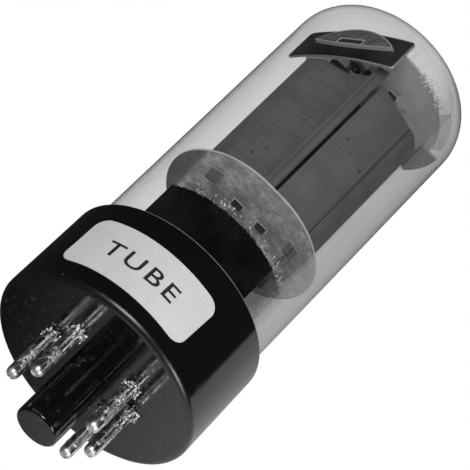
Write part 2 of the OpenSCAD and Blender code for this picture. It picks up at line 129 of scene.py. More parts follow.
class Finish(Tree):
    """A material on one Principled shader, with patterns in the piece's own coordinates."""

    def __init__(self, name, **uniform):
        self.material = bpy.data.materials.new(name)
        self.material.use_nodes = True
        super().__init__(self.material.node_tree)
        self.shader = self.tree.nodes["Principled BSDF"]
        self.place = self.node("ShaderNodeTexCoord", out="Object")
        for socket, value in uniform.items():
            self.shader.inputs[socket.replace("_", " ")].default_value = value

    def feed(self, **fields):
        for socket, field in fields.items():
            self.tree.links.new(field.socket, self.shader.inputs[socket.replace("_", " ")])

    def axes(self, place=None):
        split = self.node("ShaderNodeSeparateXYZ", {}, {"Vector": place or self.place})
        return [split.pick(axis) for axis in "XYZ"]

    def turned(self, angle):
        return self.node("ShaderNodeMapping", {}, {
            "Vector": self.place, "Rotation": (0, 0, -math.radians(angle))})

    def stretched(self, x, y, z):
        return self.node("ShaderNodeMapping", {}, {"Vector": self.place, "Scale": (x, y, z)})

    def noise(self, size, detail=4.0, roughness=0.55, place=None):
        return self.node("ShaderNodeTexNoise", {}, {
            "Vector": place or self.place, "Scale": 1 / size, "Detail": detail,
            "Roughness": roughness}, out="Fac")

    def specks(self, size, amount):
        """1 on scattered dots of about the given size, and 0 elsewhere."""
        cells = self.node("ShaderNodeTexVoronoi", {}, {
            "Vector": self.place, "Scale": 1 / size, "Randomness": 1.0}, out="Distance")
        return self.ease(cells, amount, amount * 0.5)

    def ease(self, value, start, end, low=0.0, high=1.0):
        return self.node("ShaderNodeMapRange", {"interpolation_type": "SMOOTHSTEP"}, {
            "Value": value, "From Min": start, "From Max": end, "To Min": low, "To Max": high})

    def shade(self, mask, first, second):
        return self.node("ShaderNodeMix", {"data_type": "RGBA"}, {
            "Factor": mask, "A": first, "B": second})

    def bump(self, height, strength, depth):
        self.feed(Normal=self.node("ShaderNodeBump", {}, {
            "Height": height, "Strength": strength, "Distance": depth}))

    def on(self, *nodes):
        for name in nodes:
            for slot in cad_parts[name].material_slots:
                slot.material = self.material

    def surface(self, shader):
        """Puts a shader made for this finish in the Principled one's place."""
        output = self.tree.nodes["Material Output"]
        self.tree.links.new(shader.socket, output.inputs["Surface"])
        self.tree.nodes.remove(self.shader)


def set_out(name, data):
    """A new object in the scene, which holds the data."""
    made = bpy.data.objects.new(name, data)
    bpy.context.scene.collection.objects.link(made)
    return made


def piece(name, mesh, finish):
    """A finished mesh as an object that rides on the tube."""
    made = set_out(name, mesh)
    mesh.materials.clear()
    mesh.materials.append(finish.material)
    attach(made, "root")


def closed(bm, name):
    """What was built, as a mesh whose faces point outwards."""
    bmesh.ops.recalc_face_normals(bm, faces=bm.faces)
    mesh = bpy.data.meshes.new(name)
    bm.to_mesh(mesh)
    bm.free()
    return mesh


# A painted highlight, a pale line, runs round the base just under the rim, and handling has dulled
# the foot
seat_z, rim_z = 0.0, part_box("base_shell")[1].z
lip_low, lip_high, lip_in = rim_z - 0.38 * MM, rim_z - 0.06 * MM, 18.6 * MM
blur = 0.1 * MM
foot_low, foot_high = 0.7 * MM, 1.4 * MM

phenolic = Finish("black_phenolic", IOR=1.58)
flow = phenolic.noise(6 * MM, 3)
grime = phenolic.noise(0.9 * MM, 6, 0.7)
dust = phenolic.specks(2.9 * MM, 0.05)
rubbed = phenolic.ease(grime, 0.56, 0.72)
x, y, z = phenolic.axes()
# Painted highlight: a pale band round the base just under the rim
painted_lip_highlight = phenolic.ease(z, lip_low, lip_low + blur) * phenolic.ease(z, lip_high, lip_high - blur)
painted_lip_highlight = painted_lip_highlight * (hypot(x, y) > lip_in) * phenolic.ease(flow, 0.25, 0.6, 0.35, 1.0)
smudge = phenolic.ease(phenolic.noise(3.2 * MM, 5, 0.65), 0.52, 0.75)
underneath = z < seat_z + 0.02 * MM
handled = phenolic.ease(z, foot_high, foot_low) * (1 - underneath)
scuffed = phenolic.ease(phenolic.noise(1.3 * MM, 6, 0.72), 0.56, 0.74) * underneath
phenolic.feed(
    Base_Color=phenolic.shade(
        painted_lip_highlight, phenolic.shade(
            phenolic.reckon("MAXIMUM", dust, scuffed * 0.6),
            phenolic.shade(rubbed * smudge, grey(0.003), grey(0.02)), grey(0.08)),
        grey(0.16)),
    Roughness=0.10 + rubbed * 0.10 + smudge * 0.10 + dust * 0.3 + painted_lip_highlight * 0.3 + handled * 0.22,
)
phenolic.bump(flow * 0.8 + grime * 0.2, 0.25, 0.04 * MM)
phenolic.on("base_shell")


def ring(name, centre, radius, wire, z, finish, turns=96, sides=8):
    """A thin moulded ring that lies flat at height z."""
    bm = bmesh.new()
    loops = []
    for i in range(turns):
        a = 2 * math.pi * i / turns
        out = Vector((math.cos(a), math.sin(a), 0))
        loops.append([
            bm.verts.new(Vector((centre[0], centre[1], z)) + out * (
                radius + wire * math.cos(2 * math.pi * j / sides))
                + Vector((0, 0, wire * math.sin(2 * math.pi * j / sides))))
            for j in range(sides)])
    for i in range(turns):
        for j in range(sides):
            k, m = (i + 1) % turns, (j + 1) % sides
            bm.faces.new((loops[i][j], loops[k][j], loops[k][m], loops[i][m]))
    mesh = closed(bm, name)
    mesh.shade_smooth()
    piece(name, mesh, finish)


# The witness ring that an ejector left in the moulding, round pin 7
pin_circle_r = 8.725 * MM
ring("ejector_ring", centre=(-pin_circle_r, 0), radius=3.1 * MM, wire=0.05 * MM, z=seat_z,
     finish=phenolic)


# ---- Basing cement ----
# The dull sandy cement that holds the glass in the base. It fills the ring
# between bulb and rim, and was baked hard after the base was pushed on.

cement = Finish("basing_cement", Roughness=0.9)
sand = cement.noise(0.35 * MM, 5, 0.7)
cement.feed(Base_Color=cement.shade(cement.ease(sand, 0.35, 0.7), grey(0.05), grey(0.15)))
cement.bump(sand, 0.8, 0.12 * MM)
cement.on("base_cement")


# ---- Contact pins ----
# Six tubular brass pins, nickel-plated and dip-tinned. The solder that closes
# their tips has run back up the shanks and stands in crumbs round their feet.

# The tips are duller, from the first height down to the second
dull_from, dull_to = -9.6 * MM, -11.0 * MM

plate = Finish("tinned_plate", Metallic=1.0)
wear = plate.noise(0.5 * MM, 6, 0.7)
streaks = plate.noise(0.35 * MM, 3, 0.6, plate.stretched(1, 1, 0.12))
_, _, z = plate.axes()
dulled = plate.ease(z, dull_from, dull_to)
plate.feed(
    Base_Color=plate.shade(plate.ease(wear, 0.35, 0.62), grey(0.42), grey(0.92)),
    Roughness=plate.ease(streaks, 0.3, 0.75, 0.14, 0.42) + dulled * 0.25,
)
plate.bump(wear * 0.6 + streaks * 0.4, 0.45, 0.09 * MM)
plate.on("pin_2", "pin_3", "pin_4", "pin_5", "pin_7", "pin_8", "getter_eyelet")

solder = Finish("rough_solder", Metallic=1.0)
_, _, z = solder.axes()
lumps = solder.noise(0.4 * MM, 6, 0.75)
# Dark specks scattered at random through the solder
dark_specks = solder.specks(0.7 * MM, 0.22)
dulled = solder.ease(z, dull_from, dull_to)
solder.feed(
    Base_Color=solder.shade(
        solder.ease(lumps, 0.4, 0.6), grey(0.34), solder.shade(dark_specks, grey(0.95), grey(0.12))),
    Roughness=solder.ease(lumps, 0.3, 0.7, 0.26, 0.55) + dulled * 0.2,
)
solder.bump(lumps, 0.9, 0.16 * MM)
solder.on("pin_solder")


def plain_mesh(holder):
    """A mesh of the object as it stands, with what grows on it made real."""
    bpy.context.view_layer.update()
    grown = holder.evaluated_get(bpy.context.evaluated_depsgraph_get())
    return bpy.data.meshes.new_from_object(grown)


class Shape(Tree):
    """A Geometry Nodes tree with named sizes, which is turned into a plain mesh."""

    def __init__(self, name, **sizes):
        super().__init__(bpy.data.node_groups.new(name, "GeometryNodeTree"))
        self.name, self.sizes = name, sizes
        face = self.tree.interface
        for size, value in sizes.items():
            kind = "NodeSocketInt" if isinstance(value, int) else "NodeSocketFloat"
            face.new_socket(size, in_out="INPUT", socket_type=kind)
        face.new_socket("Geometry", in_out="OUTPUT", socket_type="NodeSocketGeometry")
        self.given = self.node("NodeGroupInput")

    def size(self, name):
        return self.given.pick(name)

    def vector(self, x=0.0, y=0.0, z=0.0):
        return self.node("ShaderNodeCombineXYZ", {}, {"X": x, "Y": y, "Z": z})

    def chance(self, low, high, seed, vector=False):
        kind = "FLOAT_VECTOR" if vector else "FLOAT"
        return self.node("FunctionNodeRandomValue", {"data_type": kind}, {
            "Min": low, "Max": high, "Seed": seed})

    def made(self, geometry, finish, slot):
        single = self.node("GeometryNodeRealizeInstances", {}, {"Geometry": geometry})
        dressed = self.node("GeometryNodeSetMaterial", {}, {
            "Geometry": single, "Material": finish.material})
        self.node("NodeGroupOutput", {}, {"Geometry": dressed})
        holder = set_out(self.name + "_holder", bpy.data.meshes.new(self.name))
        step = holder.modifiers.new(self.name, "NODES")
        step.node_group = self.tree
        for item in self.tree.interface.items_tree:
            if item.item_type == "SOCKET" and item.in_out == "INPUT":
                step[item.identifier] = self.sizes[item.name]
        mesh = plain_mesh(holder)
        holder.modifiers.remove(step)
        bpy.data.objects.remove(holder)
        piece(self.name, mesh, finish)


pin_places, empty_places = 8, (3, 6)


def pin_points(shape):
    """The six used places on the eight-place pin circle."""
    circle = shape.node("GeometryNodeMeshCircle", {}, {
        "Vertices": pin_places, "Radius": shape.size("pin_circle_r")})
    index = shape.node("GeometryNodeInputIndex")
    unused = sum(abs(index - place) < 0.5 for place in empty_places)
    return shape.node("GeometryNodeDeleteGeometry", {"domain": "POINT"}, {
        "Geometry": circle, "Selection": unused})


# The solder skin: a sleeve round each shank, roughened along its length
skin = Shape("solder_skins", pin_circle_r=pin_circle_r, shank_r=1.16 * MM, length=7.6 * MM,
             drop=9.0 * MM, lump=0.26 * MM, grain=0.95 * MM, seed=4)
sleeve = skin.node("GeometryNodeMeshCylinder", {"fill_type": "NGON"}, {
    "Vertices": 28, "Side Segments": 34, "Radius": skin.size("shank_r"),
    "Depth": skin.size("length")}, out="Mesh")
hung = skin.node("GeometryNodeTransform", {}, {
    "Geometry": sleeve, "Translation": skin.vector(z=skin.size("length") / 2 - skin.size("drop"))})
standing = skin.node("GeometryNodeInstanceOnPoints", {}, {
    "Points": pin_points(skin), "Instance": hung})
single = skin.node("GeometryNodeRealizeInstances", {}, {"Geometry": standing})
where = skin.node("GeometryNodeInputPosition")
rough = skin.node("ShaderNodeTexNoise", {"noise_dimensions": "4D"}, {
    "Vector": where, "W": skin.size("seed"), "Scale": 1 / skin.size("grain"), "Detail": 3.0,
    "Roughness": 0.6}, out="Fac")
swell = (rough - 0.47) * skin.size("lump") * 2.4
outward = skin.node("GeometryNodeInputNormal")
push = skin.node("ShaderNodeVectorMath", {"operation": "SCALE"}, {
    "Vector": outward, "Scale": swell})
lumpy = skin.node("GeometryNodeSetPosition", {}, {"Geometry": single, "Offset": push})
smooth = skin.node("GeometryNodeSetShadeSmooth", {}, {"Geometry": lumpy})
skin.made(smooth, solder, "solder")

# The crumbs round each foot, dropped in a loose ring on the base, and turned any way
no_turn, full_turn = (0, 0, 0), (6.28, 6.28, 6.28)
crumbs = Shape("foot_solder", pin_circle_r=pin_circle_r, ring_r=1.45 * MM, crumb=0.34 * MM,
               spread=0.36 * MM, rise=1.3 * MM, count=34, seed=9)
feet = crumbs.node("GeometryNodeMeshCircle", {}, {
    "Vertices": crumbs.size("count"), "Radius": crumbs.size("ring_r")})
rings = crumbs.node("GeometryNodeInstanceOnPoints", {}, {
    "Points": pin_points(crumbs), "Instance": feet})
loose = crumbs.node("GeometryNodeRealizeInstances", {}, {"Geometry": rings})
shift = crumbs.chance((-1, -1, 0), (1, 1, 1), crumbs.size("seed"), vector=True)
throw = crumbs.vector(crumbs.size("spread"), crumbs.size("spread"), 0.0 - crumbs.size("rise"))
thrown = crumbs.node("ShaderNodeVectorMath", {"operation": "MULTIPLY"}, {0: shift, 1: throw})
placed = crumbs.node("GeometryNodeSetPosition", {}, {"Geometry": loose, "Offset": thrown})
grain = crumbs.node("GeometryNodeMeshIcoSphere", {}, {
    "Radius": crumbs.size("crumb"), "Subdivisions": 2}, out="Mesh")
scattered = crumbs.node("GeometryNodeInstanceOnPoints", {}, {
    "Points": placed, "Instance": grain,
    "Rotation": crumbs.chance(no_turn, full_turn, 21, vector=True),
    "Scale": crumbs.chance((0.35, 0.35, 0.4), (1.15, 1.0, 1.1), 22, vector=True)})
crumbs.made(scattered, solder, "solder")


# ---- Label ----
# A pressure-sensitive paper label with round corners, wrapped on the base by
# hand and a little out of level. One short line is printed on it in thin type.

paper = Finish("label_paper", Roughness=0.5)
fibre = paper.noise(0.22 * MM, 5, 0.65)
stain = paper.noise(5 * MM, 3)
aged = paper.shade(paper.ease(stain, 0.3, 0.8), grey(0.38), grey(0.43))
paper.feed(Base_Color=paper.shade(paper.ease(fibre, 0.3, 0.75), aged, grey(0.46)))
paper.bump(fibre, 0.12, 0.03 * MM)
paper.on("label")

ink = Finish("label_ink", Roughness=0.45)
worn_print = ink.ease(ink.noise(0.2 * MM, 3), 0.45, 0.8)
ink.feed(Base_Color=ink.shade(worn_print, grey(0.008), grey(0.04)))

# The base narrows by its draft up to the rim; the label sits on it at a turn and a tilt
rim_r, draft = 19.4 * MM, 0.25 * MM
label_t = 0.12 * MM
label_turn, label_z, label_tilt = math.radians(252), 9.15 * MM, math.radians(-2.2)
type_h, type_w, ink_t = 3.15 * MM, 14.4 * MM, 0.02 * MM

letters = bpy.data.curves.new("type", "FONT")
letters.body = "TUBE"
letters.align_x, letters.align_y = "CENTER", "CENTER"
letters.space_character = 1.22
letters.extrude = 0.5
letters.offset = 0.006
letters.resolution_u = 6
typeset = set_out("type", letters)
bm = bmesh.new()
bm.from_mesh(plain_mesh(typeset))
bpy.data.objects.remove(typeset)
bmesh.ops.remove_doubles(bm, verts=bm.verts, dist=1e-5)
spans = [[end(v.co[i] for v in bm.verts) for end in (min, max)] for i in range(3)]
cuts = 60
for i in range(1, cuts):
    across = spans[0][0] + (spans[0][1] - spans[0][0]) * i / cuts
    bmesh.ops.bisect_plane(bm, geom=bm.verts[:] + bm.edges[:] + bm.faces[:],
                           plane_co=(across, 0, 0), plane_no=(1, 0, 0))
for v in bm.verts:
    u, w, depth = [(v.co[i] - (lo + hi) / 2) / (hi - lo) for i, (lo, hi) in enumerate(spans)]
    u, w = u * type_w, w * type_h
    across = u * math.cos(label_tilt) - w * math.sin(label_tilt)
    z = label_z + u * math.sin(label_tilt) + w * math.cos(label_tilt)
    r = rim_r + draft * (1 - z / rim_z) + label_t + ink_t * (depth + 0.3)
    a = label_turn + across / rim_r
    v.co = (r * math.cos(a), r * math.sin(a), z)
piece("label_print", closed(bm, "label_print"), ink)


# ---- Glass ----
# Soft soda-lime glass: a blown bulb with a nearly flat crown, sealed to a pressed
# stem that the leads pass through. A thin wall shows what is behind it, a little
# greyed, and mirrors the room at its edges.

# The shoulder's arc is struck round this circle, and its wall's middle is this far out
shoulder_in, shoulder_z, mid_wall = 9.5 * MM, 79.5 * MM, 7.4 * MM
# Painted shade makes the glass greyer towards one side and towards the crown
glass_shade_from, glass_shade_to = 3 * MM, 15 * MM
crown_from, crown_to = 78 * MM, 84 * MM


def clear_glass(name, darkest_grey, haze, gloss):
    """A wall of clear glass with faint seed and dust. Its outer face greys what is seen through it,
    and painted shade greys it more towards one side and the crown, down to the darkest grey.

    Bending of light hides the inner face's outline, so only the outer face mirrors at its edge."""
    glass = Finish(name)
    x, y, z = glass.axes()
    past = glass.reckon("MAXIMUM", hypot(x, y) - shoulder_in, 0.0)
    above = glass.reckon("MAXIMUM", z - shoulder_z, 0.0)
    within = glass.ease(hypot(past, above), mid_wall + blur / 2, mid_wall - blur / 2)
    film = glass.noise(9 * MM, 4, 0.6)
    seeds = glass.specks(2.6 * MM, 0.03)
    # Painted shade: the outer face greys more towards one side and towards the crown
    grey_and_painted_shade = glass.ease(x + (film - 0.5) * 5 * MM, glass_shade_from, glass_shade_to, 0.29, 0.66)
    grey_and_painted_shade = (grey_and_painted_shade + glass.ease(z, crown_from, crown_to, 0.0, 0.14)) * (1 - within)
    open_glass = glass.node("ShaderNodeBsdfTransparent", {}, {"Color": grey(1.0)})
    greyed_through = glass.node("ShaderNodeBsdfTransparent", {}, {"Color": grey(darkest_grey)})
    through = glass.node("ShaderNodeMixShader", {}, {0: grey_and_painted_shade, 1: open_glass, 2: greyed_through})
    mirror = glass.node("ShaderNodeBsdfAnisotropic", {}, {"Color": grey(1.0), "Roughness": gloss})
    dusty = glass.node("ShaderNodeBsdfDiffuse", {}, {"Color": grey(0.7)})
    facing = glass.node("ShaderNodeLayerWeight", {}, {"Blend": 0.5}, out="Facing")
    edge = 0.04 + facing ** 5 * (1 - within) * 0.9
    wall = glass.node("ShaderNodeMixShader", {}, {0: edge, 1: through, 2: mirror})
    dirt = glass.ease(film, 0.35, 0.8) * haze + seeds * 0.12
    glass.surface(glass.node("ShaderNodeMixShader", {}, {0: dirt, 1: wall, 2: dusty}))
    return glass


bulb_glass = clear_glass("bulb_glass", darkest_grey=0.45, haze=0.008, gloss=0.02)
bulb_glass.on("bulb")
stem_glass = clear_glass("stem_glass", darkest_grey=0.85, haze=0.10, gloss=0.08)
stem_glass.on("button_stem", "exhaust_tip")


# ---- Lead wires ----
# Drawn nickel wire, brought up from the pins through the stem and bent by hand to
# its weld on the cage. The lower ends carry the dark oxide of the glass seal.

# The seal's oxide fades out between these heights
seal_low, seal_high = 10 * MM, 14 * MM

nickel = Finish("lead_nickel", Metallic=1.0)
drawn = nickel.noise(0.25 * MM, 4, 0.6, nickel.stretched(1, 1, 0.15))
_, _, z = nickel.axes()
sealed = nickel.ease(z, seal_high, seal_low)
nickel.feed(
    Base_Color=nickel.shade(sealed, nickel.shade(drawn, grey(0.34), grey(0.6)), grey(0.12)),
    Roughness=nickel.ease(drawn, 0.3, 0.8, 0.25, 0.5),
)
nickel.on("lead_2", "lead_3", "lead_4", "lead_5", "lead_7", "lead_8")


# ---- Micas ----
# Two punched discs of natural mica that hold the cage true, sprayed with a chalky
# coat against leakage. Their cut edges flake white, and thin leaves split from the
# upper one press on the glass.

# The undersides of the two micas, and the lower one's outline: round ends on a short straight
low_z, high_z = (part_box(name)[0].z for name in ("lower_mica", "upper_mica"))
mica_r, mica_straight = 14.38 * MM, 1.3 * MM
crease_x, ear_x, lug_r = 12.2 * MM, 13 * MM, 11.0 * MM

mica = Finish("sprayed_mica", IOR=1.58)
x, y, z = mica.axes()
cloud = mica.noise(3.2 * MM, 5, 0.6)
spray = mica.noise(0.45 * MM, 5, 0.7)
rim = hypot(mica.reckon("MAXIMUM", abs(x) - mica_straight, 0.0), y)
lower = z < (low_z + high_z) / 2
upper = 1 - lower
ear = mica.ease(x, 1.5 * MM - ear_x, -ear_x) * lower
off_crease = abs(abs(x) - crease_x + (spray - 0.5) * 0.5 * MM)
crease = mica.ease(off_crease, 0.22 * MM, 0.08 * MM) * lower
edge = mica.ease(rim, mica_r - 0.08 * MM, mica_r) * lower
bearing = mica.reckon("ARCTAN2", y, x)
lug = mica.ease(bearing, -0.02, 0.03) * mica.ease(bearing, 0.60, 0.56)
lug = lug * mica.ease(rim, lug_r, lug_r + 0.5 * MM) * upper
veil = mica.ease(cloud, 0.32, 0.7)
chalky = mica.shade(lower, grey(0.5), grey(0.9))
coat = mica.shade(mica.ease(spray, 0.42, 0.62), grey(0.46), chalky)
coat = mica.shade(veil, grey(0.36), coat)
coat = mica.shade(ear, coat, grey(0.13))
coat = mica.shade(lug, coat, grey(0.14))
mica.feed(
    Base_Color=mica.shade(edge, coat, grey(0.6)),
    Roughness=mica.ease(spray, 0.3, 0.7, 0.22, 0.5),
    Alpha=0.52 + veil * 0.16 + edge * 0.1 + upper * 0.10 + lug * 0.3 + ear * 0.26 + crease * 0.3,
)
mica.bump(spray * 0.5 + cloud * 0.5, 0.35, 0.1 * MM)
mica.on("lower_mica", "upper_mica")

leaf = Finish("split_mica", IOR=1.58)
fray = leaf.noise(0.5 * MM, 5, 0.75)
x, y, _ = leaf.axes()
bearing = leaf.reckon("ARCTAN2", x, 0.0 - y)
torn = leaf.ease(bearing, -0.05, 0.05) * leaf.ease(bearing, 0.88, 0.82)
whole_leaf, torn_leaf = leaf.ease(fray, 0.3, 0.7, 0.2, 0.5), leaf.ease(fray, 0.5, 0.6, 0.04, 0.7)
split = leaf.shade(torn, grey(0.5), grey(0.9))
leaf.feed(
    Base_Color=leaf.shade(leaf.ease(fray, 0.35, 0.65), grey(0.25), split),
    Roughness=leaf.ease(fray, 0.3, 0.8, 0.15, 0.45),
    Alpha=whole_leaf * (1 - torn) + torn * torn_leaf,
)
leaf.bump(fray, 0.4, 0.1 * MM)
leaf.on("bulb_spacers")

chalk = Finish("bruised_mica", Roughness=0.5)
bruise = chalk.noise(0.3 * MM, 4, 0.7)
chalk.feed(
    Base_Color=chalk.shade(chalk.ease(bruise, 0.35, 0.7), grey(0.45), grey(0.9)),
    Alpha=chalk.ease(bruise, 0.3, 0.6, 0.65, 1.0),
)

corners = ((-1, -1), (1, -1), (1, 1), (-1, 1))


def frame_round(bm, centre, width, height, band, z, depth):
    """A thin flat frame, lying at height z, with its hole the given size."""
    loops = []
    for grow in (0, band):
        half_w, half_h = width / 2 + grow, height / 2 + grow
        for level in (z, z - depth):
            loops.append([
                bm.verts.new((centre[0] + sx * half_w, centre[1] + sy * half_h, level))
                for sx, sy in corners])
    inner_top, inner_low, outer_top, outer_low = loops
    for i in range(4):
        k = (i + 1) % 4
        bm.faces.new((inner_top[i], inner_top[k], outer_top[k], outer_top[i]))
        bm.faces.new((inner_low[i], outer_low[i], outer_low[k], inner_low[k]))
        bm.faces.new((inner_top[i], inner_low[i], inner_low[k], inner_top[k]))
        bm.faces.new((outer_top[i], outer_top[k], outer_low[k], outer_low[i]))


# Where the punch bruised the mica, round the slots that the beam plates' tabs come through
bm = bmesh.new()
tab_x, tab_y = 2.7 * MM, 4.275 * MM
for sx, sy in corners:
    for level in (low_z, high_z):
        frame_round(bm, centre=(sx * tab_x, sy * tab_y), width=2.2 * MM, height=0.72 * MM,
                    band=0.22 * MM, z=level, depth=0.05 * MM)
piece("slot_bruises", closed(bm, "slot_bruises"), chalk)


def flake_drift(name, **sizes):
    """Torn flakes of mica and spray, strewn along a part of the glass or of a mica's edge."""
    flakes = Shape(name, **sizes)
    row = flakes.node("GeometryNodeMeshLine", {}, {"Count": flakes.size("count")})
    along = flakes.chance(0.0, 1.0, flakes.size("seed")) ** flakes.size("crowding")
    turn = flakes.size("start") + along * flakes.size("sweep")
    band = flakes.size("to_r") - flakes.size("from_r")
    reach = flakes.size("from_r") + flakes.chance(0.0, 1.0, 32) * band
    lift = flakes.chance(0.0, 1.0, 35) ** 2.0 * flakes.size("rise")
    spot = flakes.vector(
        reach * flakes.reckon("COSINE", turn), reach * flakes.reckon("SINE", turn),
        flakes.size("z") + lift)
    laid = flakes.node("GeometryNodeSetPosition", {}, {"Geometry": row, "Position": spot})
    chip = flakes.node("GeometryNodeMeshIcoSphere", {}, {
        "Radius": flakes.size("flake"), "Subdivisions": 1}, out="Mesh")
    strewn = flakes.node("GeometryNodeInstanceOnPoints", {}, {
        "Points": laid, "Instance": chip,
        "Rotation": flakes.chance(no_turn, full_turn, 33, vector=True),
        "Scale": flakes.chance((0.25, 0.15, 0.1), (1.2, 0.5, 0.35), 34, vector=True)})
    flakes.made(strewn, chalk, "mica")


# On the glass along the top edge of the dark film, and where the upper mica's split edge meets it
film_top = 29.3 * MM
flake_drift("film_edge_flakes", start=math.radians(222), sweep=math.radians(98), crowding=0.7,
            from_r=15.7 * MM, to_r=16.0 * MM, z=film_top, rise=2.6 * MM, flake=0.38 * MM,
            count=150, seed=31)
flake_drift("split_edge_flakes", start=math.radians(283), sweep=math.radians(34), crowding=1.0,
            from_r=14.4 * MM, to_r=15.8 * MM, z=high_z - 0.6 * MM, rise=1.0 * MM, flake=0.5 * MM,
            count=46, seed=57)


# ---- Cathode, heater and grids ----
# A flat nickel sleeve sprayed with oxides round its heater, inside two wound grids: dark
# molybdenum wire swaged on to copper and nickel side rods.

sleeve_nickel = Finish("sleeve_nickel", Metallic=1.0)
satin = sleeve_nickel.noise(0.3 * MM, 4, 0.6)
sleeve_nickel.feed(
    Base_Color=sleeve_nickel.shade(satin, grey(0.38), grey(0.55)),
    Roughness=sleeve_nickel.ease(satin, 0.3, 0.7, 0.3, 0.5),
)
sleeve_nickel.on("cathode_sleeve", "getter_strap")

# The oxide and the heater are painted near black, as painted shade for the gap behind the anode's
# seam
shaded_oxide = Finish("cathode_oxide", Roughness=0.95)
powder = shaded_oxide.noise(0.12 * MM, 5, 0.7)
shaded_oxide.feed(Base_Color=shaded_oxide.shade(powder, grey(0.018), grey(0.045)))
shaded_oxide.bump(powder, 0.6, 0.04 * MM)
shaded_oxide.on("cathode_coating", "heater")

rod = Finish("grid_wire", Metallic=1.0)
tarnish = rod.noise(0.6 * MM, 4, 0.6)
rod.feed(
    Base_Color=rod.shade(rod.ease(tarnish, 0.35, 0.7), grey(0.28), grey(0.55)),
    Roughness=rod.ease(tarnish, 0.3, 0.7, 0.25, 0.45),
)
rod.on("screen_grid_rods")

blacked = Finish("blacked_wire", Metallic=0.3, Roughness=0.6)
blacked.feed(Base_Color=blacked.shade(blacked.noise(0.3 * MM, 3), grey(0.01), grey(0.03)))
blacked.on("screen_grid_winding", "control_grid_winding")

copper = Finish("copper_rod", Metallic=1.0, Roughness=0.35)
bloom = copper.noise(0.8 * MM, 4, 0.6)
copper.feed(Base_Color=copper.shade(bloom, (0.27, 0.21, 0.18, 1), (0.45, 0.36, 0.31, 1)))
copper.on("control_grid_rods")


# ---- Beam plates ----
# Two bent channels of blackened steel that squeeze the stream into beams. Their
# tabs come through both micas and are twisted or bent over.

blackened = Finish("blackened_sheet", Metallic=0.35)
soot = blackened.noise(0.7 * MM, 5, 0.65)
blackened.feed(
    Base_Color=blackened.shade(soot, grey(0.012), grey(0.035)),
    Roughness=blackened.ease(soot, 0.3, 0.7, 0.45, 0.7),
)
blackened.bump(soot, 0.2, 0.05 * MM)
blackened.on("beam_plate_left", "beam_plate_right")


# ---- Anode ----
# Two folded halves of carbonised nickel sheet, grey and matt, seam-welded at the
# front and strapped at the back. The left half is rolled with fine level ribs to
# stiffen it, and the right one is plain.

rib_pitch = 0.62 * MM
# On the front panels: the ribbed stretch, the left half's rolled bead and the right half's fold
ribbed_x, ribbed_half = -6.15 * MM, 3.95 * MM
bead_x, right_fold_x = -1.75 * MM, 9.0 * MM

carbonised = Finish("carbonised_nickel", Metallic=0.15)
x, y, z = carbonised.axes()
in_front = y < 0.0
bloom = carbonised.noise(5 * MM, 4, 0.6)
tooth = carbonised.noise(0.25 * MM, 4, 0.7)
rolled = carbonised.noise(0.8 * MM, 3, 0.6, carbonised.stretched(1, 1, 0.06))
spots = carbonised.specks(3.4 * MM, 0.12)
wave = carbonised.reckon("SINE", z * (2 * math.pi / rib_pitch))
wander = carbonised.noise(2.2 * MM, 3, 0.6, carbonised.stretched(0.25, 0.25, 2.5))
ribbed = (abs(x - ribbed_x) < ribbed_half) * in_front
# Painted shade: dark lines at the fold, the bead and between the ribs, a little darker past the
# fold
fold_shade = carbonised.ease(abs(x - right_fold_x), 0.16 * MM, 0.06 * MM) * in_front
beyond_fold_shade = (x > right_fold_x) * in_front
bead_shade = carbonised.ease(abs(x - bead_x), 0.16 * MM, 0.05 * MM) * in_front
rib_groove_shade = carbonised.ease(wave, 0.1, -0.8) * carbonised.ease(wander, 0.35, 0.65, 0.25, 1.0) * ribbed
painted_crease_shade = carbonised.reckon(
    "MAXIMUM", rib_groove_shade * 0.45, fold_shade * 0.9 + beyond_fold_shade * 0.05 + bead_shade * 0.6)
tone = carbonised.ease(bloom, 0.3, 0.75) * 0.45 + tooth * 0.3
tone = tone + carbonised.ease(rolled, 0.3, 0.7) * 0.25
sheet_tone = carbonised.shade(tone, grey(0.092), grey(0.152))
carbonised.feed(
    Base_Color=carbonised.shade(
        painted_crease_shade, carbonised.shade(spots, sheet_tone, grey(0.045)), grey(0.015)),
    Roughness=carbonised.ease(tooth, 0.3, 0.7, 0.5, 0.68),
)
carbonised.bump(tooth * 0.7 + rolled * 0.3, 0.25, 0.05 * MM)
carbonised.on("anode_left", "anode_right", "anode_straps")

# The left front panel runs straight from its fold to the seam, and its ribs stop short of that
seam_x, seam_y = 0.4 * MM, 10.0 * MM
fold_x, fold_y = 10.2 * MM, 6.1 * MM
panel = Vector((seam_x - fold_x, fold_y - seam_y, 0)).normalized()
slope = (seam_y - fold_y) / (fold_x - seam_x)
rib_stop_x, rib_lead = 2.2 * MM, 0.3 * MM
rib_from = Vector((-fold_x, -fold_y, 0)) - panel * rib_lead
rib_to = Vector((-rib_stop_x, (rib_stop_x - seam_x) * slope - seam_y, 0))
ribs_low, ribs_high = 42.0 * MM, 72.6 * MM
rib_first = (math.ceil(ribs_low / rib_pitch) + 0.25) * rib_pitch

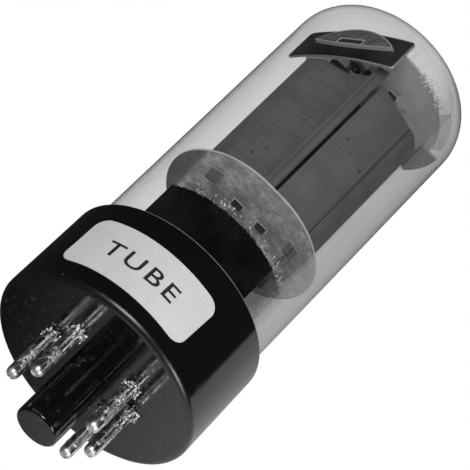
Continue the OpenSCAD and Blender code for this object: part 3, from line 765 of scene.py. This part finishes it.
# The rolled ribs: one round bar for each, part sunk in the panel
ribs = Shape("anode_ribs", pitch=rib_pitch, rib_r=0.12 * MM, first=rib_first,
             count=int((ribs_high - rib_first) / rib_pitch), seed=3)
bar_line = ribs.node("GeometryNodeCurvePrimitiveLine", {}, {"Start": rib_from, "End": rib_to})
round_bar = ribs.node("GeometryNodeCurvePrimitiveCircle", {}, {
    "Resolution": 8, "Radius": ribs.size("rib_r")})
bar = ribs.node("GeometryNodeCurveToMesh", {}, {
    "Curve": bar_line, "Profile Curve": round_bar, "Fill Caps": True})
stack = ribs.node("GeometryNodeMeshLine", {}, {
    "Count": ribs.size("count"), "Start Location": ribs.vector(z=ribs.size("first")),
    "Offset": ribs.vector(z=ribs.size("pitch"))})
laid_ribs = ribs.node("GeometryNodeInstanceOnPoints", {}, {
    "Points": stack, "Instance": bar,
    "Scale": ribs.chance((1, 1, 0.8), (1, 1, 1.1), ribs.size("seed"), vector=True)})
ribs.made(laid_ribs, carbonised, "anode_sheet")


# ---- Getter ----
# A dark bowed shield stands on the edge of the upper mica, with a boat-shaped tray
# welded to its face. The tray's slot held the barium, which was flashed from it
# by induction after the tube was sealed.

# The bearing that the shield and its tray face, in degrees round the tube
getter_turn = 217.7
shield_low, shield_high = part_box("getter_shield")
middle_z = (shield_low.z + shield_high.z) / 2
half_h = (shield_high.z - shield_low.z) / 2
shield_u, half_w = -0.3 * MM, 11.75 * MM

shield = Finish("getter_shield", Metallic=0.7)
_, along, up = shield.axes(shield.turned(getter_turn))
fired = shield.noise(1.2 * MM, 5, 0.65)
# Painted highlight: pale bands along the shield's top and bottom edges and at its two ends
painted_rim_highlight = shield.ease(abs(up - middle_z), half_h - 0.30 * MM, half_h - 0.12 * MM)
painted_end_highlight = shield.ease(abs(along - shield_u), half_w - 0.20 * MM, half_w)
painted_edge_highlight = shield.reckon("MAXIMUM", painted_rim_highlight, painted_end_highlight)
middle, outer = (shield.shade(fired, grey(dark), grey(pale))
                 for dark, pale in ((0.008, 0.03), (0.04, 0.13)))
face = shield.shade(shield.ease(abs(along), 3 * MM, 11 * MM), middle, outer)
shield.feed(
    Base_Color=shield.shade(painted_edge_highlight, face, grey(0.6)),
    Roughness=shield.ease(fired, 0.3, 0.7, 0.3, 0.5),
)
shield.bump(fired, 0.2, 0.06 * MM)
shield.on("getter_shield")

# The tray's outline is two arcs between its points, and its slot is a plain rectangle
tray_u, tray_z, tray_half = 0.5 * MM, 79.35 * MM, 8.8 * MM
tray_up, tray_down = 3.4 * MM, 1.2 * MM
slot_u, slot_z, slot_w, slot_h = 0.2 * MM, 79.15 * MM, 5.3 * MM, 1.2 * MM

tray = Finish("getter_tray", Metallic=0.55)
_, along, up = tray.axes(tray.turned(getter_turn))
mottle = tray.noise(1.1 * MM, 6, 0.7)
scratch = tray.noise(0.3 * MM, 3, 0.6)


def inside_arc(rise, sign):
    """How far inside the arc that bounds the tray above (sign 1) or below (sign -1)."""
    radius = (tray_half ** 2 + rise ** 2) / (2 * rise)
    return radius - hypot(along - tray_u, up - (tray_z + sign * (rise - radius)))


inset = tray.reckon("MINIMUM", inside_arc(tray_up, 1), inside_arc(tray_down, -1))
beside = tray.reckon("MAXIMUM", abs(along - slot_u) - slot_w / 2, abs(up - slot_z) - slot_h / 2)
rim_lit, slot_lit = tray.ease(inset, 0.34 * MM, 0.14 * MM), tray.ease(beside, 0.30 * MM, 0.16 * MM)
scuffs = tray.shade(tray.ease(scratch, 0.4, 0.7), grey(0.25), grey(0.42))
floor = tray.shade(tray.ease(mottle, 0.36, 0.66), grey(0.15), scuffs)
tray.feed(
    Base_Color=tray.shade(tray.reckon("MAXIMUM", rim_lit, slot_lit), floor, grey(0.68)),
    Roughness=tray.ease(scratch, 0.3, 0.7, 0.25, 0.5),
)
tray.bump(mottle * 0.5 + scratch * 0.5, 0.5, 0.12 * MM)
tray.on("getter_pan")

charge = Finish("spent_getter", Roughness=0.85)
ash = charge.noise(0.2 * MM, 5, 0.7)
charge.feed(Base_Color=charge.shade(ash, grey(0.008), grey(0.03)))
charge.bump(ash, 0.7, 0.08 * MM)
charge.on("getter_charge")

mirror = Finish("getter_film", IOR=1.5)
x, y, z = mirror.axes()
bearing = mirror.reckon("ARCTAN2", x, 0.0 - y)
patches = mirror.noise(1.6 * MM, 5, 0.65)
ragged = mirror.noise(0.6 * MM, 5, 0.75)
solid = mirror.ease(bearing, 0.61, 0.56)
fade = mirror.ease(bearing + (patches - 0.5) * 0.2, 1.12, 0.62) * 0.5
brim = mirror.ease(z + (ragged - 0.5) * 1.6 * MM, film_top + 0.45 * MM, film_top)
cover = mirror.reckon("MAXIMUM", solid, fade)
mirror.feed(
    Base_Color=mirror.shade(mirror.ease(patches, 0.3, 0.8), grey(0.002), grey(0.004)),
    Roughness=mirror.ease(patches, 0.3, 0.7, 0.20, 0.23),
    Alpha=cover * brim,
)
mirror.on("getter_film")


# ---- Camera ----
# Stands in front of the tube and below its base, looks up at it by the tilt, and is
# rolled over so that the tube runs from the lower left to the upper right.

tilt, roll = 0.5894, 0.7883
ahead = Vector((0, math.cos(tilt), math.sin(tilt)))
right = Vector((math.cos(roll), -math.sin(roll) * math.sin(tilt), math.sin(roll) * math.cos(tilt)))
down = Vector((math.sin(roll), math.cos(roll) * math.sin(tilt), -math.cos(roll) * math.cos(tilt)))
# Where the middle of the base's foot is seen: to the right, below and ahead of the camera
seat_right, seat_down, seat_ahead = -22.98 * MM, 22.016 * MM, 442.2 * MM
camera_data = bpy.data.cameras.new("camera")
camera_data.lens, camera_data.sensor_width = 211.2, 36
camera_data.clip_start, camera_data.clip_end = 0.01, 20
camera = set_out("camera", camera_data)
stand = -(right * seat_right + down * seat_down + ahead * seat_ahead)
facing = Matrix((right, -down, -ahead)).transposed()
camera.matrix_world = Matrix.Translation(stand) @ facing.to_4x4()
bpy.context.scene.camera = camera
bpy.context.scene.view_settings.view_transform = "Standard"


# ---- Stage and lights ----
# A white sheet lies behind the tube, which rests on it, and shows one face only. In
# gloss it is seen as a room would be: pale to one side and dim to the other.

sheet_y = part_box("base_shell")[1].y + 0.4 * MM
sheet_half = 900 * MM
dim_side, pale_side = -20 * MM, 45 * MM
sheet_mesh = bpy.data.meshes.new("sheet")
sheet_mesh.from_pydata(
    [(sx * sheet_half, sheet_y, sz * sheet_half) for sx, sz in corners], [], [(0, 1, 2, 3)])

white = Finish("white_sheet")
x, _, z = white.axes()
mirrored = white.node("ShaderNodeLightPath", out="Is Glossy Ray")
side = white.ease(x - z * 0.35, dim_side, pale_side, 0.02, 0.75)
shine = white.node("ShaderNodeEmission", {}, {
    "Color": grey(1.0), "Strength": 1 - mirrored + mirrored * side})
clear = white.node("ShaderNodeBsdfTransparent")
behind = white.node("ShaderNodeNewGeometry", out="Backfacing")
white.surface(white.node("ShaderNodeMixShader", {}, {0: behind, 1: shine, 2: clear}))
sheet_mesh.materials.append(white.material)
set_out("sheet", sheet_mesh)

world = bpy.data.worlds.new("room")
bpy.context.scene.world = world
world.use_nodes = True
room = Tree(world.node_tree)
background = world.node_tree.nodes["Background"]
background.inputs["Color"].default_value = grey(1.0)
# How bright the room is where it is seen, where it lights the tube and where it is mirrored
seen_level, lit_level, mirrored_level = 0.92, 0.5, 0.015
seen = room.node("ShaderNodeLightPath", out="Is Camera Ray")
glossy = seen.pick("Is Glossy Ray")
unseen_glow = (1 - glossy) * lit_level + glossy * mirrored_level
glow = seen * seen_level + (1 - seen) * unseen_glow
room.tree.links.new(glow.socket, background.inputs["Strength"])


def softbox(name, toward, distance, size, power, mirrored=True):
    """A square soft light that stands off in the given direction and faces the tube's middle."""
    middle = Vector((0, 0, 40 * MM))
    lamp = bpy.data.lights.new(name, "AREA")
    lamp.shape, lamp.size, lamp.energy = "SQUARE", size, power
    made = set_out(name, lamp)
    made.location = middle + Vector(toward).normalized() * distance
    made.rotation_mode = "QUATERNION"
    made.rotation_quaternion = (middle - made.location).to_track_quat("-Z", "Y")
    made.visible_glossy = mirrored


softbox("key", toward=(-0.25, -1.0, -0.35), distance=0.6, size=0.25, power=2.6)
softbox("top", toward=(0.2, -0.25, 1.0), distance=0.5, size=0.2, power=1.6, mirrored=False)
softbox("fill", toward=(1.0, -0.6, -0.6), distance=0.6, size=0.2, power=1.5)
